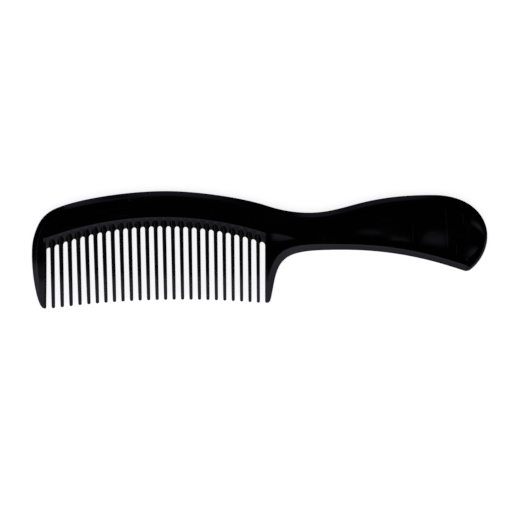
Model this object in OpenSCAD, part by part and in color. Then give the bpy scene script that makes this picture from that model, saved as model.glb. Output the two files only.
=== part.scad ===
// Wide tooth comb with a curved handle, moulded in one shot from glossy black plastic.
// The moulding is divided where its features meet, so that the spine, the handle,
// the two guards, the rail and every tooth are solids of their own that fit face to face.
//
// Frame: the comb lies on its back face. X runs along the length, towards the handle.
// Y points away from the tooth tips. Z is the thickness.
// The origin is the centre of the overall outline, on the back face.
// The outlines below are given for a comb 216 mm long and scale with comb_length.

/* [Overall] */
// Overall length of the comb
comb_length = 216; // [200:1:232]
// Thickness of the spine and the handle
thickness = 5; // [4.6:0.1:6]

/* [Edges] */
// Width of the bevel round the outer edge, seen from the front
bevel_width = 2.4; // [1.8:0.1:2.6]
// Width of that bevel where the finger hollow meets the rear guard
hollow_bevel_width = 3.4; // [2.4:0.1:3.6]
// Width of that bevel round the end of the handle
end_bevel_width = 1; // [0.8:0.1:2]
// Depth of the bevel, from either face
bevel_drop = 1.2; // [0.6:0.1:1.6]
// Width of the steep flank along the inner edge of the front guard
front_flank = 1.1; // [0.6:0.1:1.4]
// Width of the steep flank along the inner edge of the rear guard
rear_flank = 0.5; // [0.3:0.1:0.8]

/* [Rail] */
// Slope of the rail from each face down to the gaps, in degrees
rail_slope = 30; // [24:1:36]
// Thickness of the rail's edge at the gaps
rail_edge = 0.6; // [0.4:0.1:1]

/* [Teeth] */
// Number of teeth between the guards
tooth_count = 25; // [20:1:27]
// Width of a tooth at its root
tooth_root_width = 1.7; // [1.4:0.1:1.9]
// Width of a tooth just above its rounded tip
tooth_tip_width = 1.45; // [1.2:0.05:1.6]
// Thickness of a tooth at its root
tooth_root_depth = 4; // [3.4:0.1:4.4]
// Thickness of a tooth just above its rounded tip
tooth_tip_depth = 1.9; // [1.6:0.1:2.4]
// Width of the ridge that carries each tooth up the rail, at the foot of its flanks
ridge_width = 3.2; // [2.6:0.1:3.4]
// Lean of the first tooth towards the handle, in degrees
lean_first = 1; // [0:0.1:1.5]
// Lean of the fifth tooth, the largest, in degrees
lean_largest = 1.9; // [1:0.1:2]
// Lean of the last tooth, in degrees
lean_last = 0.4; // [0:0.1:1]
// How far the middle tooth stands towards the handle from an even spacing
spacing_bow = 0.4; // [0:0.1:0.6]

/* [Hidden] */
plan = comb_length / 216;
// Height of the mid-plane, and half thickness of the outer edge between its bevels.
mid = thickness / 2;
edge_half = mid - bevel_drop;
// How far the bar of a tooth runs past each end before it is cut to length.
overlap = 0.5;

// Outline of the spine and the handle, clockwise from the front end: cubic curves.
front_start = [-107.1, 5.5];
front_shoulder = [front_start, [-105.5, 11.5], [-103.5, 16.2], [-97.3, 19.3]];
spine_front = [[-97.3, 19.3], [-87.8, 23.8], [-63.7, 27.9], [-44, 27.9]];
spine_rear = [[-44, 27.9], [-31.2, 27.9], [-9.2, 25.2], [3.8, 20.9]];
waist_top = [[3.8, 20.9], [9.8, 18.9], [16.8, 17.65], [23.3, 17.65]];
palm_top = [[23.3, 17.65], [41.1, 17.65], [47.4, 26.05], [82, 26.05]];
end_top = [[82, 26.05], [101.4, 26.05], [108, 14.8], [108, 6.8]];
end_bottom = [[108, 6.8], [108, -0.1], [104.4, -5.95], [100, -9.4]];
heel = [[100, -9.4], [99.17, -10.05], [98, -10.23], [97, -9.9]];
palm_bottom = [[97, -9.9], [85.6, -6.1], [66.5, 0], [39.4, 0]];
finger_hollow = [[39.4, 0], [19.5, 0], [12.8, -1.3], [9.3, -8]];
// Share of the finger hollow's curve that belongs to the handle; the rear guard has the rest.
hollow_split = 0.75;

// Outlines of the guards, from the root to the tip.
front_guard_outer = [front_start, [-109.1, -1.95], [-106.8, -21.65], [-103.6, -26.6]];
front_guard_tip = [[-103.6, -26.6], [-103, -27.7], [-101.1, -28.7], [-101.1, -27]];
rear_guard_outer = [[9.3, -8], [6.9, -12.6], [6.5, -19.5], [5.2, -24]];
rear_guard_tip = [[5.2, -24], [4.9, -25.1], [2.7, -25.9], [2.7, -24.2]];
// Share of each tip's curve that lies on the outer side of its lowest point.
tip_split = 0.62;
// The inner edge of a guard stays this far below the face at its root.
nick = 0.05;
// How far each face of a guard has sunk at the start of the rounded tip and at its end.
guard_sink = 1.4;
tip_sink = 1.7;
// Each guard's thinning: the share of its length at which it begins, and a power
// that sets how late the faces fall.
front_thinning = [0.36, 1.3];
rear_thinning = [0.5, 1.6];
// Half thickness of a guard's edges at its tip, least depth of the outer edge below
// the face, and share of the tip's curve that is drawn.
guard_tip_half = 0.7;
guard_edge_drop = 0.3;
tip_share = 0.86;
// Share of the rear guard's length along which its outer edge still is the finger hollow.
hollow_share = 0.3;

// The teeth stand between these two planes.
field_front = -101.1 * plan;
field_rear = 2.7 * plan;

// Three arcs bow up along the rail: the rail's upper line, the tops of the gaps, the tips.
// Each is [x of the crest, y of the crest, radius].
rail_arc = [-45.5, 15.5, 160];
gap_arc = [-45.5, 11.2, 150];
tip_arc = [-37, -23.65, 460];

// Room in front of the first tooth and behind the last, beyond the gap halves, in pitches.
front_margin = 0.715;
rear_margin = 0.825;
tooth_pitch = (field_rear - field_front) / (tooth_count - 1 + front_margin + rear_margin);
// Depth below the tops of the gaps at which a tooth leaves the rail.
root_depth = 2.2;
// Height at which the teeth begin to thin towards their tips.
thinning_y = -12 * plan;
// Share of its thickness that a tooth still has there.
thinning_share = 0.88;
// Half width of the flat top of a tooth and its ridge, and depth of the ridge's flanks.
flat_half = 0.75;
flank_depth = 1.5;
// Steps along the rail and round a gap.
rail_steps = 28;
gap_steps = 10;
plastic = [0.03, 0.03, 0.035];

function tooth_name(i) = str("tooth_", i < 10 ? "0" : "", i);

// ---- Plane geometry ----

function mix(a, b, t) = a + (b - a) * t;
function unit(v) = v / norm(v);
// The side that lies to the right of direction v.
function right_of(v) = [v[1], -v[0]];

// Point and direction on a cubic curve given by four control points.
function cubic(p, t) =
    let (s = 1 - t)
    plan * (s * s * s * p[0] + 3 * s * s * t * p[1] + 3 * s * t * t * p[2] + t * t * t * p[3]);
function heading(p, t) =
    let (s = 1 - t)
    unit(s * s * (p[1] - p[0]) + 2 * s * t * (p[2] - p[1]) + t * t * (p[3] - p[2]));

// Height and slope of an arc above x, and how far a point lies inside it.
function arc_y(arc, x) =
    let (r = arc[2] * plan, dx = x - arc[0] * plan)
    arc[1] * plan - r + sqrt(r * r - dx * dx);
function arc_slope(arc, x) =
    let (r = arc[2] * plan, dx = x - arc[0] * plan)
    -dx / sqrt(r * r - dx * dx);
function arc_centre(arc) = plan * [arc[0], arc[1] - arc[2]];
function arc_depth(arc, p) = arc[2] * plan - norm(p - arc_centre(arc));

// Half thickness of the rail at a plan point: full at its upper line, thin at the gaps.
function rail_half(p) =
    max(rail_edge / 2, mid - max(0, arc_depth(rail_arc, p)) * tan(rail_slope));

rail_front = [field_front, arc_y(rail_arc, field_front)];
rail_rear = [field_rear, arc_y(rail_arc, field_rear)];

// The rail's upper line, from the rear guard to the front guard.
rail_line = [
    for (k = [0 : rail_steps])
        let (x = mix(field_rear, field_front, k / rail_steps))
        [x, arc_y(rail_arc, x)]
];

// ---- Bevelled slabs ----

// A rim point is [point on the outline, shift to the point above the bevel].
// Rim along a curve, from t0 to t1, with the bevel's width going from w0 to w1.
function rim(p, steps, t0 = 0, t1 = 1, w0 = bevel_width, w1 = bevel_width) = [
    for (k = [0 : steps])
        let (f = k / steps, t = mix(t0, t1, f))
        [cubic(p, t), right_of(heading(p, t)) * mix(w0, w1, f)]
];
// Rim point at the end of a cut: the bevel runs back along the cut.
function cut_end(p, t, inner, w) =
    let (q = cubic(p, t), v = unit(inner - q))
    [q, v * w / (v * right_of(heading(p, t)))];
// Rim round the heel, whose small radius brings the inner points close together.
function heel_rim(steps) =
    let (
        a = cubic(heel, 0) + right_of(heading(heel, 0)) * end_bevel_width,
        b = cubic(heel, 1) + right_of(heading(heel, 1)) * bevel_width
    )
    [for (k = [0 : steps]) let (q = cubic(heel, k / steps)) [q, mix(a, b, k / steps) - q]];
// All but the first point, or all but the last, where two rims meet.
function tail(list) = [for (k = [1 : len(list) - 1]) list[k]];
function head(list) = [for (k = [0 : len(list) - 2]) list[k]];

// Solid between the two faces, bevelled to the same depth at both. The rim runs clockwise
// from one cut to the other, and plain_points close the outline where it has no bevel.
module bevelled_slab(rim_points, plain_points) {
    linear_extrude(thickness)
        polygon(concat([for (q = rim_points) q[0] + q[1]], plain_points));
    strip([
        for (q = rim_points)
            let (outer = q[0], inner = q[0] + q[1])
            [
                [outer[0], outer[1], bevel_drop],
                [outer[0], outer[1], thickness - bevel_drop],
                [inner[0], inner[1], thickness],
                [inner[0], inner[1], 0]
            ]
    ]);
}

// ---- Strips ----

// Solid through a list of sections, closed at both ends. Seen from behind the first
// section, the corners of each run clockwise.
module strip(sections) {
    m = len(sections[0]);
    last = (len(sections) - 1) * m;
    corners = [for (s = sections) each s];
    sides = [
        for (r = [0 : len(sections) - 2], k = [0 : m - 1])
            let (a = r * m + k, b = r * m + (k + 1) % m)
            each [[a, a + m, b + m], [a, b + m, b]]
    ];
    root = [for (k = [0 : m - 1]) k];
    tip = [for (k = [m - 1 : -1 : 0]) last + k];
    polyhedron(points = corners, faces = concat([root, tip], sides));
}

// Cross-section of a guard between its left and right edge, seen from its root.
// half is its half thickness; each edge has a bevel's width and its own half thickness.
function guard_section(left, right, half, left_w, left_half, right_w, right_half) =
    let (
        width = norm(right - left),
        u = (right - left) / width,
        bevel_share = 0.96,
        fit = min(1, bevel_share * width / (left_w + right_w)),
        a = left + u * left_w * fit,
        b = right - u * right_w * fit
    )
    [
        [left[0], left[1], mid - left_half],
        [left[0], left[1], mid + left_half],
        [a[0], a[1], mid + half],
        [b[0], b[1], mid + half],
        [right[0], right[1], mid + right_half],
        [right[0], right[1], mid - right_half],
        [b[0], b[1], mid - half],
        [a[0], a[1], mid - half]
    ];

// ---- Gaps and teeth ----

// Where a tooth crosses the line y = 0. It leans about that point.
function tooth_x(i) =
    let (f = (i - 1) / (tooth_count - 1))
    field_front + (front_margin + i - 1) * tooth_pitch + spacing_bow * 4 * f * (1 - f);
function lean(i) = lookup(i, [[1, lean_first], [5, lean_largest], [tooth_count, lean_last]]);
function root_y(i) = arc_y(gap_arc, tooth_x(i)) - root_depth;
function leaning_x(i, y) = tooth_x(i) - tan(lean(i)) * y;
function root_x(i) = leaning_x(i, root_y(i));
function tip_y(i) = arc_y(tip_arc, tooth_x(i));

// Sides of gap i, which lies behind tooth i; gap 0 lies in front of the first tooth.
function gap_left(i) = i == 0 ? field_front : root_x(i) + tooth_root_width / 2;
function gap_right(i) = i == tooth_count ? field_rear : root_x(i + 1) - tooth_root_width / 2;
// The round top of a gap, from left to right, tilted to follow the row of gaps.
function gap_top(i) =
    let (
        r = (gap_right(i) - gap_left(i)) / 2,
        x = gap_left(i) + r,
        y = arc_y(gap_arc, x) - r,
        tilt = arc_slope(gap_arc, x)
    )
    [
        for (k = [0 : gap_steps])
            let (a = 180 - 180 * k / gap_steps)
            [x + r * cos(a), y + r * sin(a) + tilt * r * cos(a)]
    ];
// The two corners of a tooth where it leaves the rail.
function root_corners(i) = [
    [gap_right(i - 1), root_y(i)],
    [gap_left(i), root_y(i)]
];

// Plan outline of the rail with the root of every tooth.
rail_outline = concat(
    rail_line,
    [for (i = [0 : tooth_count]) each concat(gap_top(i), i == tooth_count ? [] : root_corners(i + 1))]
);

// Section across a tooth and its ridge: flat on top, with steep flanks.
module tooth_section() {
    top = tooth_root_depth / 2;
    foot = top - flank_depth;
    wide = ridge_width / 2;
    polygon([
        [-flat_half, top], [flat_half, top], [wide, foot], [wide, -foot],
        [flat_half, -top], [-flat_half, -top], [-wide, -foot], [-wide, foot]
    ]);
}

// Bar of that section along tooth i, from y_start down to y_end.
module tooth_bar(i, y_start, y_end) {
    translate([leaning_x(i, y_start), y_start, mid]) rotate([0, 0, lean(i)]) rotate([90, 0, 0])
        linear_extrude(y_start - y_end) tooth_section();
}

// Plan of one tooth: straight sides and a round tip.
module tooth_plan(i) {
    r = tooth_tip_width / 2;
    y = tip_y(i) + r;
    x = leaning_x(i, y);
    round_tip = [
        for (k = [0 : gap_steps])
            let (a = -180 * k / gap_steps)
            [x + r * cos(a), y + r * sin(a)]
    ];
    polygon(concat(root_corners(i), round_tip));
}

// Side view of one tooth, as [y, z]: it thins towards a round tip.
module tooth_side(i) {
    r = tooth_tip_depth / 2;
    y = tip_y(i) + r;
    half = tooth_root_depth / 2;
    top_y = root_y(i) + overlap;
    round_tip = [
        for (k = [0 : gap_steps])
            let (a = 90 + 180 * k / gap_steps)
            [y + r * cos(a), mid + r * sin(a)]
    ];
    thin = thinning_share * half;
    polygon(concat(
        [[top_y, mid - half], [top_y, mid + half], [thinning_y, mid + thin]],
        round_tip,
        [[thinning_y, mid - thin]]
    ));
}

// ---- Sub-parts ----

module spine() {
    color(plastic)
        bevelled_slab(concat(
            [cut_end(front_shoulder, 0, rail_front, bevel_width)],
            tail(rim(front_shoulder, 10)),
            tail(rim(spine_front, 12)),
            head(tail(rim(spine_rear, 12))),
            [cut_end(spine_rear, 1, rail_rear, bevel_width)]
        ), rail_line);
}

module handle() {
    color(plastic)
        bevelled_slab(concat(
            [cut_end(waist_top, 0, rail_rear, bevel_width)],
            tail(rim(waist_top, 6)),
            tail(rim(palm_top, 16)),
            tail(rim(end_top, 14, 0, 1, bevel_width, end_bevel_width)),
            head(tail(rim(end_bottom, 8, 0, 1, end_bevel_width, end_bevel_width))),
            heel_rim(4),
            tail(rim(palm_bottom, 14)),
            head(tail(rim(finger_hollow, 10, 0, hollow_split, bevel_width, hollow_bevel_width))),
            [cut_end(finger_hollow, hollow_split, rail_rear, hollow_bevel_width)]
        ), [rail_rear]);
}

// Half thickness of a guard's face at f of its length.
function guard_half(f, thinning) =
    let (g = max(0, f - thinning[0]) / (1 - thinning[0]))
    mid - guard_sink * pow(g, thinning[1]);
// Half thickness of a guard's outer edge at f, where its face has this half thickness.
function guard_edge(f, half) = min(mix(edge_half, guard_tip_half, f * f), half - guard_edge_drop);

// The front guard: the comb's front end, which thins towards its tip.
module front_guard() {
    blade_steps = 16;
    tip_steps = 4;
    // Depth of the flank along the inner edge.
    flank_drop = 0.75;
    blade = [
        for (k = [0 : blade_steps])
            let (
                t = k / blade_steps,
                outer = cubic(front_guard_outer, t),
                inner = k == 0 ? rail_front : [field_front, outer[1]],
                half = guard_half(t, front_thinning),
                edge = guard_edge(t, half),
                inner_half = max(min(half - nick, rail_half(inner)), half - flank_drop)
            )
            guard_section(inner, outer, half, front_flank, inner_half, bevel_width, edge)
    ];
    tip = [
        for (k = [1 : tip_steps])
            let (
                f = tip_share * k / tip_steps,
                outer = cubic(front_guard_tip, tip_split * f),
                inner = cubic(front_guard_tip, 1 - (1 - tip_split) * f),
                half = mid - mix(guard_sink, tip_sink, f),
                edge = min(guard_tip_half, half - nick)
            )
            guard_section(inner, outer, half, front_flank, edge, bevel_width, edge)
    ];
    color(plastic) strip(concat(blade, tip));
}

// Outer edge of the rear guard at f from its root to the start of its tip.
function rear_guard_edge(f) =
    f < hollow_share
        ? cubic(finger_hollow, mix(hollow_split, 1, f / hollow_share))
        : cubic(rear_guard_outer, (f - hollow_share) / (1 - hollow_share));

// The rear guard: the web that runs down from the handle to a narrow tip.
module rear_guard() {
    blade_steps = 16;
    tip_steps = 4;
    // Depth of the flank along the inner edge.
    flank_drop = 0.45;
    blade = [
        for (k = [0 : blade_steps])
            let (
                f = k / blade_steps,
                outer = rear_guard_edge(f),
                inner = mix(rail_rear, cubic(rear_guard_tip, 1), f),
                half = guard_half(f, rear_thinning),
                edge = guard_edge(f, half),
                inner_half = max(min(half - nick, rail_half(inner)), half - flank_drop),
                root_w = cut_end(finger_hollow, hollow_split, rail_rear, hollow_bevel_width)[1],
                outer_w = mix(norm(root_w), bevel_width, f)
            )
            guard_section(outer, inner, half, outer_w, edge, rear_flank, inner_half)
    ];
    tip = [
        for (k = [1 : tip_steps])
            let (
                f = tip_share * k / tip_steps,
                outer = cubic(rear_guard_tip, tip_split * f),
                inner = cubic(rear_guard_tip, 1 - (1 - tip_split) * f),
                half = mid - mix(guard_sink, tip_sink, f),
                edge = min(guard_tip_half, half - nick)
            )
            guard_section(outer, inner, half, bevel_width, edge, rear_flank, edge)
    ];
    color(plastic) strip(concat(blade, tip));
}

// Wedge swept along the rail's arc: full thickness above, down to a narrow land,
// then sloping to a thin edge at the gaps. It reaches past the rail on both sides.
module rail_wedge() {
    land = 0.1;
    reach_in = 8;
    reach_out = 1;
    r = rail_arc[2] * plan - land;
    slope_end = r - (mid - rail_edge / 2) / tan(rail_slope);
    inner_r = r - reach_in;
    outer_r = r + reach_out;
    low = mid - rail_edge / 2;
    high = mid + rail_edge / 2;
    centre = arc_centre(rail_arc);
    sweep = 50;
    translate([centre[0], centre[1], 0]) rotate([0, 0, 90 - sweep / 2])
        rotate_extrude(angle = sweep, $fn = 720)
        polygon([
            [outer_r, 0], [outer_r, thickness], [r, thickness], [slope_end, high],
            [inner_r, high], [inner_r, low], [slope_end, low], [r, 0]
        ]);
}

// The rail: the sloped band under the spine, with a ridge running down into every tooth.
module tooth_rail() {
    // The ridges start this far below the rail's upper line.
    ridge_start = 0.9;
    color(plastic)
        intersection() {
            linear_extrude(thickness) polygon(rail_outline);
            union() {
                rail_wedge();
                for (i = [1 : tooth_count])
                    tooth_bar(i, arc_y(rail_arc, tooth_x(i)) - ridge_start, root_y(i) - overlap);
            }
        }
}

// One tooth, from the rail to its tip.
module tooth(i) {
    color(plastic)
        intersection() {
            linear_extrude(thickness) tooth_plan(i);
            translate([tooth_x(i) - tooth_pitch, 0, 0]) rotate([90, 0, 90])
                linear_extrude(2 * tooth_pitch) tooth_side(i);
            tooth_bar(i, root_y(i) + overlap, tip_y(i) - overlap);
        }
}

spine();
handle();
front_guard();
rear_guard();
tooth_rail();
for (i = [1 : tooth_count]) tooth(i);
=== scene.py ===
"""Looks of the wide tooth comb: one glossy black moulding, in the pieces of its CAD model."""
import math

import bmesh
import bpy
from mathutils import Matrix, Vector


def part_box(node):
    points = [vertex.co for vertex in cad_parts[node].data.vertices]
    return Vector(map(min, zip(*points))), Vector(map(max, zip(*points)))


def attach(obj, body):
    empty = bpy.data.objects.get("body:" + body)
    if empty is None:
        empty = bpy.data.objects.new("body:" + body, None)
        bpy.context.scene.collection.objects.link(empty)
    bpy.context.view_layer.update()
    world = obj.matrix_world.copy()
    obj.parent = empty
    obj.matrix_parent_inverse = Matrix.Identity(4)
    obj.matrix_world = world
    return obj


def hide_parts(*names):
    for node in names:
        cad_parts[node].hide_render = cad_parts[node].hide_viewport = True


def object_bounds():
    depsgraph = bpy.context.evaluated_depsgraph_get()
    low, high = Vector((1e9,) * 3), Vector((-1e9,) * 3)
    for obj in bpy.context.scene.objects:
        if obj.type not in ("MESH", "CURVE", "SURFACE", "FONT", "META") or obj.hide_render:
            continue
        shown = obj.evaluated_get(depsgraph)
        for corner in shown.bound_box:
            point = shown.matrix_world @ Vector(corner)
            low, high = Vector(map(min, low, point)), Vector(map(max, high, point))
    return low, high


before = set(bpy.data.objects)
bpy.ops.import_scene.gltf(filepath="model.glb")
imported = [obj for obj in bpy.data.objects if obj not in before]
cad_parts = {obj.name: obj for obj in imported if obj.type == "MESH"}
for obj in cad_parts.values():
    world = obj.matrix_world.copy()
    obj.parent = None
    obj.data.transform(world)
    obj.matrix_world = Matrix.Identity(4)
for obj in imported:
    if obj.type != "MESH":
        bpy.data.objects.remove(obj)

cad_low, cad_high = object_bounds()

# ---------------------------------------------------------------------------
# Frame: the drawing is in millimetres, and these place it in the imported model.
# ---------------------------------------------------------------------------
TOOTH_COUNT = sum(1 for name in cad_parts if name.startswith("tooth_")) - 1
END_X = 108.0
TOP_Y = 27.9
FIELD_FRONT, FIELD_REAR = -101.1, 2.7

rail_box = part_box("tooth_rail")
handle_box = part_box("handle")
SCALE = (handle_box[1].x - rail_box[0].x) / (END_X - FIELD_FRONT)
ORIGIN_X = handle_box[1].x - END_X * SCALE
ORIGIN_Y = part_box("spine")[1].y - TOP_Y * SCALE
MID_Z = (cad_low.z + cad_high.z) / 2
HALF = (cad_high.z - cad_low.z) / 2 / SCALE


def place(x, y, h):
    """A drawing point, h above the mid-plane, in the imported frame."""
    return (ORIGIN_X + x * SCALE, ORIGIN_Y + y * SCALE, MID_Z + h * SCALE)


def place_inside(x, y, h):
    """The same, held within the box of the CAD model."""
    return tuple(min(max(v, cad_low[k]), cad_high[k]) for k, v in enumerate(place(x, y, h)))


# ---------------------------------------------------------------------------
# Camera: straight above the comb. The view's width is taken at the view plane, in the
# drawing; the camera's height above that plane is in metres.
# ---------------------------------------------------------------------------
VIEW_CENTRE = (-1.615, -2.918)
VIEW_WIDTH = 242.52
VIEW_PLANE = 1.0
CAMERA_HEIGHT = 0.75
CAMERA_REACH = 20

camera = bpy.data.objects.new("camera", bpy.data.cameras.new("camera"))
bpy.context.scene.collection.objects.link(camera)
plane_z = place(0, 0, VIEW_PLANE)[2]
centre = place(*VIEW_CENTRE, 0)
camera.location = (centre[0], centre[1], plane_z + CAMERA_HEIGHT)
camera.data.angle = 2 * math.atan(VIEW_WIDTH * SCALE / 2 / CAMERA_HEIGHT)
camera.data.clip_end = CAMERA_REACH
bpy.context.scene.camera = camera

# ---------------------------------------------------------------------------
# Curves of the outline, clockwise from the front end.
# ---------------------------------------------------------------------------
FRONT_START = (-107.1, 5.5)
FRONT_SHOULDER = (FRONT_START, (-105.5, 11.5), (-103.5, 16.2), (-97.3, 19.3))
SPINE_FRONT = ((-97.3, 19.3), (-87.8, 23.8), (-63.7, 27.9), (-44, 27.9))
SPINE_REAR = ((-44, 27.9), (-31.2, 27.9), (-9.2, 25.2), (3.8, 20.9))
WAIST_TOP = ((3.8, 20.9), (9.8, 18.9), (16.8, 17.65), (23.3, 17.65))
PALM_TOP = ((23.3, 17.65), (41.1, 17.65), (47.4, 26.05), (82, 26.05))
END_TOP = ((82, 26.05), (101.4, 26.05), (108, 14.8), (108, 6.8))
END_BOTTOM = ((108, 6.8), (108, -0.1), (104.4, -5.95), (100, -9.4))
HEEL = ((100, -9.4), (99.17, -10.05), (98, -10.23), (97, -9.9))
PALM_BOTTOM = ((97, -9.9), (85.6, -6.1), (66.5, 0), (39.4, 0))
FINGER_HOLLOW = ((39.4, 0), (19.5, 0), (12.8, -1.3), (9.3, -8))
# Share of the finger hollow that is the handle's; the rest is the rear guard's.
HOLLOW_SPLIT = 0.75
FRONT_GUARD_OUTER = (FRONT_START, (-109.1, -1.95), (-106.8, -21.65), (-103.6, -26.6))
FRONT_GUARD_TIP = ((-103.6, -26.6), (-103, -27.7), (-101.1, -28.7), (-101.1, -27))
REAR_GUARD_OUTER = ((9.3, -8), (6.9, -12.6), (6.5, -19.5), (5.2, -24))
REAR_GUARD_TIP = ((5.2, -24), (4.9, -25.1), (2.7, -25.9), (2.7, -24.2))
# Where on the curve of a guard's tip its outer and inner edges would meet, and how much of
# the way there each of them goes before the tip is closed.
TIP_SPLIT = 0.62
TIP_SHARE = 0.85

# Arcs of the rail's upper line, the tops of the gaps and the tips: crest x, crest y, radius.
RAIL_ARC = (-45.5, 15.5, 160)
GAP_ARC = (-45.5, 11.2, 150)
TIP_ARC = (-37, -23.65, 460)

# Widths of the bevel, and half the height of the wall between the two bevels.
BEVEL = 2.4
HOLLOW_BEVEL = 3.4
END_BEVEL = 1.0
EDGE_HALF = HALF - 1.2
# The rail's slope, the half thickness of its lip, and the fillets along its two creases.
RAIL_SLOPE = math.tan(math.radians(30))
LIP_HALF = 0.3
LIP_FILLET = 0.25
CREASE = 0.45

# Spaces before the first and after the last tooth, in pitches; a bow moves the middle ones.
FRONT_MARGIN, REAR_MARGIN = 0.715, 0.825
PITCH = (FIELD_REAR - FIELD_FRONT) / (TOOTH_COUNT - 1 + FRONT_MARGIN + REAR_MARGIN)
SPACING_BOW = 0.4
# Lean in degrees of the first, the most leaning and the last tooth.
LEAN_FIRST, LEAN_MOST, LEAN_LAST = 1, 1.9, 0.4
MOST_LEANING = 5
# Half widths of a tooth, and how far below the top of its gap it starts.
ROOT_DEPTH = 2.2
ROOT_HALF = 0.875
TIP_HALF_WIDTH = 0.755
# Half thickness of a tooth: its ridge on the rail, then down to its tip. Below THINNING_Y
# it thins faster.
RIDGE_START = 2.22
RIDGE_END = 2.0
RIDGE_FILLET = 0.22
THIN_START = 1.76
TIP_HEIGHT = 0.95
THINNING_Y = -12.0
THINNING_POWER = 1.2
# Section of a tooth: a flat top, round shoulders and steep flanks.
FLAT_HALF = 0.25
SHOULDER = 0.9
FLANK_SLOPE = 1.8


def mix(a, b, t):
    return a + (b - a) * t


def mix2(p, q, t):
    return (mix(p[0], q[0], t), mix(p[1], q[1], t))


def unit(v):
    n = math.hypot(v[0], v[1])
    return (v[0] / n, v[1] / n)


def smooth(e0, e1, x):
    """Smooth step from 0 at e0 to 1 at e1."""
    t = min(1.0, max(0.0, (x - e0) / (e1 - e0)))
    return t * t * (3 - 2 * t)


def cubic(p, t):
    """Point of a cubic curve with the four control points p."""
    s = 1 - t
    w = (s * s * s, 3 * s * s * t, 3 * s * t * t, t * t * t)
    return (sum(w[k] * p[k][0] for k in range(4)), sum(w[k] * p[k][1] for k in range(4)))


def heading(p, t):
    s = 1 - t
    w = (s * s, 2 * s * t, t * t)
    return unit(tuple(sum(w[k] * (p[k + 1][a] - p[k][a]) for k in range(3)) for a in (0, 1)))


def inward(p, t):
    """Direction at right angles to the curve, into the comb."""
    h = heading(p, t)
    return (h[1], -h[0])


def arc_y(arc, x):
    """Height of an arc (crest x, crest y, radius) at x."""
    return arc[1] - arc[2] + math.sqrt(arc[2] ** 2 - (x - arc[0]) ** 2)


def arc_slope(arc, x):
    return -(x - arc[0]) / math.sqrt(arc[2] ** 2 - (x - arc[0]) ** 2)


def arc_depth(arc, x, y):
    """Distance of a point below an arc, along the arc's radius."""
    return arc[2] - math.hypot(x - arc[0], y - arc[1] + arc[2])


RAIL_FRONT = (FIELD_FRONT, arc_y(RAIL_ARC, FIELD_FRONT))
RAIL_REAR = (FIELD_REAR, arc_y(RAIL_ARC, FIELD_REAR))

# ---------------------------------------------------------------------------
# Faces: nearly flat, with the shallow sinks a moulding has over its thick parts.
# ---------------------------------------------------------------------------
# Each sink: centre x, centre y, half length, half height, turn in degrees, depth.
SINKS = (
    (52.3, 6.0, 7.6, 3.2, -3, 0.15),
    (65.8, 1.6, 6.0, 4.0, -6, 0.205),
    (83.0, 0.2, 7.2, 7.0, -8, 0.38),
    (103.6, 9.2, 5.2, 4.8, -10, 0.2),
    (105.6, -6.4, 8.2, 6.0, -10, 0.4),
)
# Distance from a bevel over which the sinks fade in: along the palm, and at its end from
# the upper and from the lower bevel. The end starts between the two END_ZONE values of x.
SINK_FADE = 4.0
UPPER_END_FADE = 6.5
LOWER_END_FADE = 4.0
END_ZONE = (92, 98)

# Leaf-shaped sink behind the rail: its top line is a parabola from the rail's end. The
# slope under that line starts and stops, and its reach narrows, over ranges of x.
LEAF_TOP = 8.05
LEAF_CURVE = 0.0122
LEAF_SLOPE = 0.058
LEAF_STARTS = (3.4, 7.4)
LEAF_STOPS = (14.5, 19.5)
LEAF_REACH, LEAF_END_REACH = 4.4, 1.6
LEAF_NARROWS = (9, 18.5)
LEAF_RETURN = 5.5


def leaf_depth(x, y):
    """The leaf-shaped sink: a crease along its top, then a slope that levels out."""
    top = LEAF_TOP - LEAF_CURVE * (x - FIELD_REAR) ** 2
    v = top - y
    if v <= 0:
        return 0.0
    reach = mix(LEAF_REACH, LEAF_END_REACH, smooth(*LEAF_NARROWS, x))
    slope = LEAF_SLOPE * smooth(*LEAF_STARTS, x) * (1 - smooth(*LEAF_STOPS, x))
    t = min(1.0, v / reach)
    fallen = slope * reach * (t - t ** 4 / 4)
    return fallen * (1 - smooth(reach, reach + LEAF_RETURN, v))


def sink(x, y):
    """Depth of the face below its level, all sinks together."""
    total = leaf_depth(x, y)
    for cx, cy, a, b, turn, depth in SINKS:
        t = math.radians(turn)
        dx, dy = x - cx, y - cy
        u = (dx * math.cos(t) + dy * math.sin(t)) / a
        v = (-dx * math.sin(t) + dy * math.cos(t)) / b
        total += depth * math.exp(-u ** 4 - v * v)
    return total


# ---------------------------------------------------------------------------
# Sheets: the upper half of a piece, as points (x, y, height above the mid-plane, wear).
# Wear goes from 0 where nothing touches the comb to 1 on the edges that rub.
# ---------------------------------------------------------------------------
# Points nearer than one step share a vertex; there are this many steps in a millimetre.
VERTEX_STEPS = 2000
# In metres: vertices nearer than this are welded, and edges shorter than this are removed.
WELD = 1.5e-6
SLIVER = 1e-6
# In the drawing: points this close to the mid-plane are their own mirror image.
LEVEL = 1e-6
# Faces that meet at more than this are shaded with a sharp edge between them.
SHARP_ANGLE = math.radians(48)


class Sheet:
    def __init__(self):
        self.points = []
        self.index = {}
        self.faces = []

    def vertex(self, p):
        key = tuple(round(v * VERTEX_STEPS) for v in p[:3])
        if key not in self.index:
            self.index[key] = len(self.points)
            self.points.append(p)
        return self.index[key]

    def grid(self, rows):
        """Quads between neighbouring rows of points. Corners that coincide are merged."""
        ids = [[self.vertex(p) for p in row] for row in rows]
        for a, b in zip(ids, ids[1:]):
            for k in range(len(a) - 1):
                face = []
                for i in (a[k], a[k + 1], b[k + 1], b[k]):
                    if i not in face:
                        face.append(i)
                if len(face) > 2:
                    self.faces.append(tuple(face))


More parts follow.
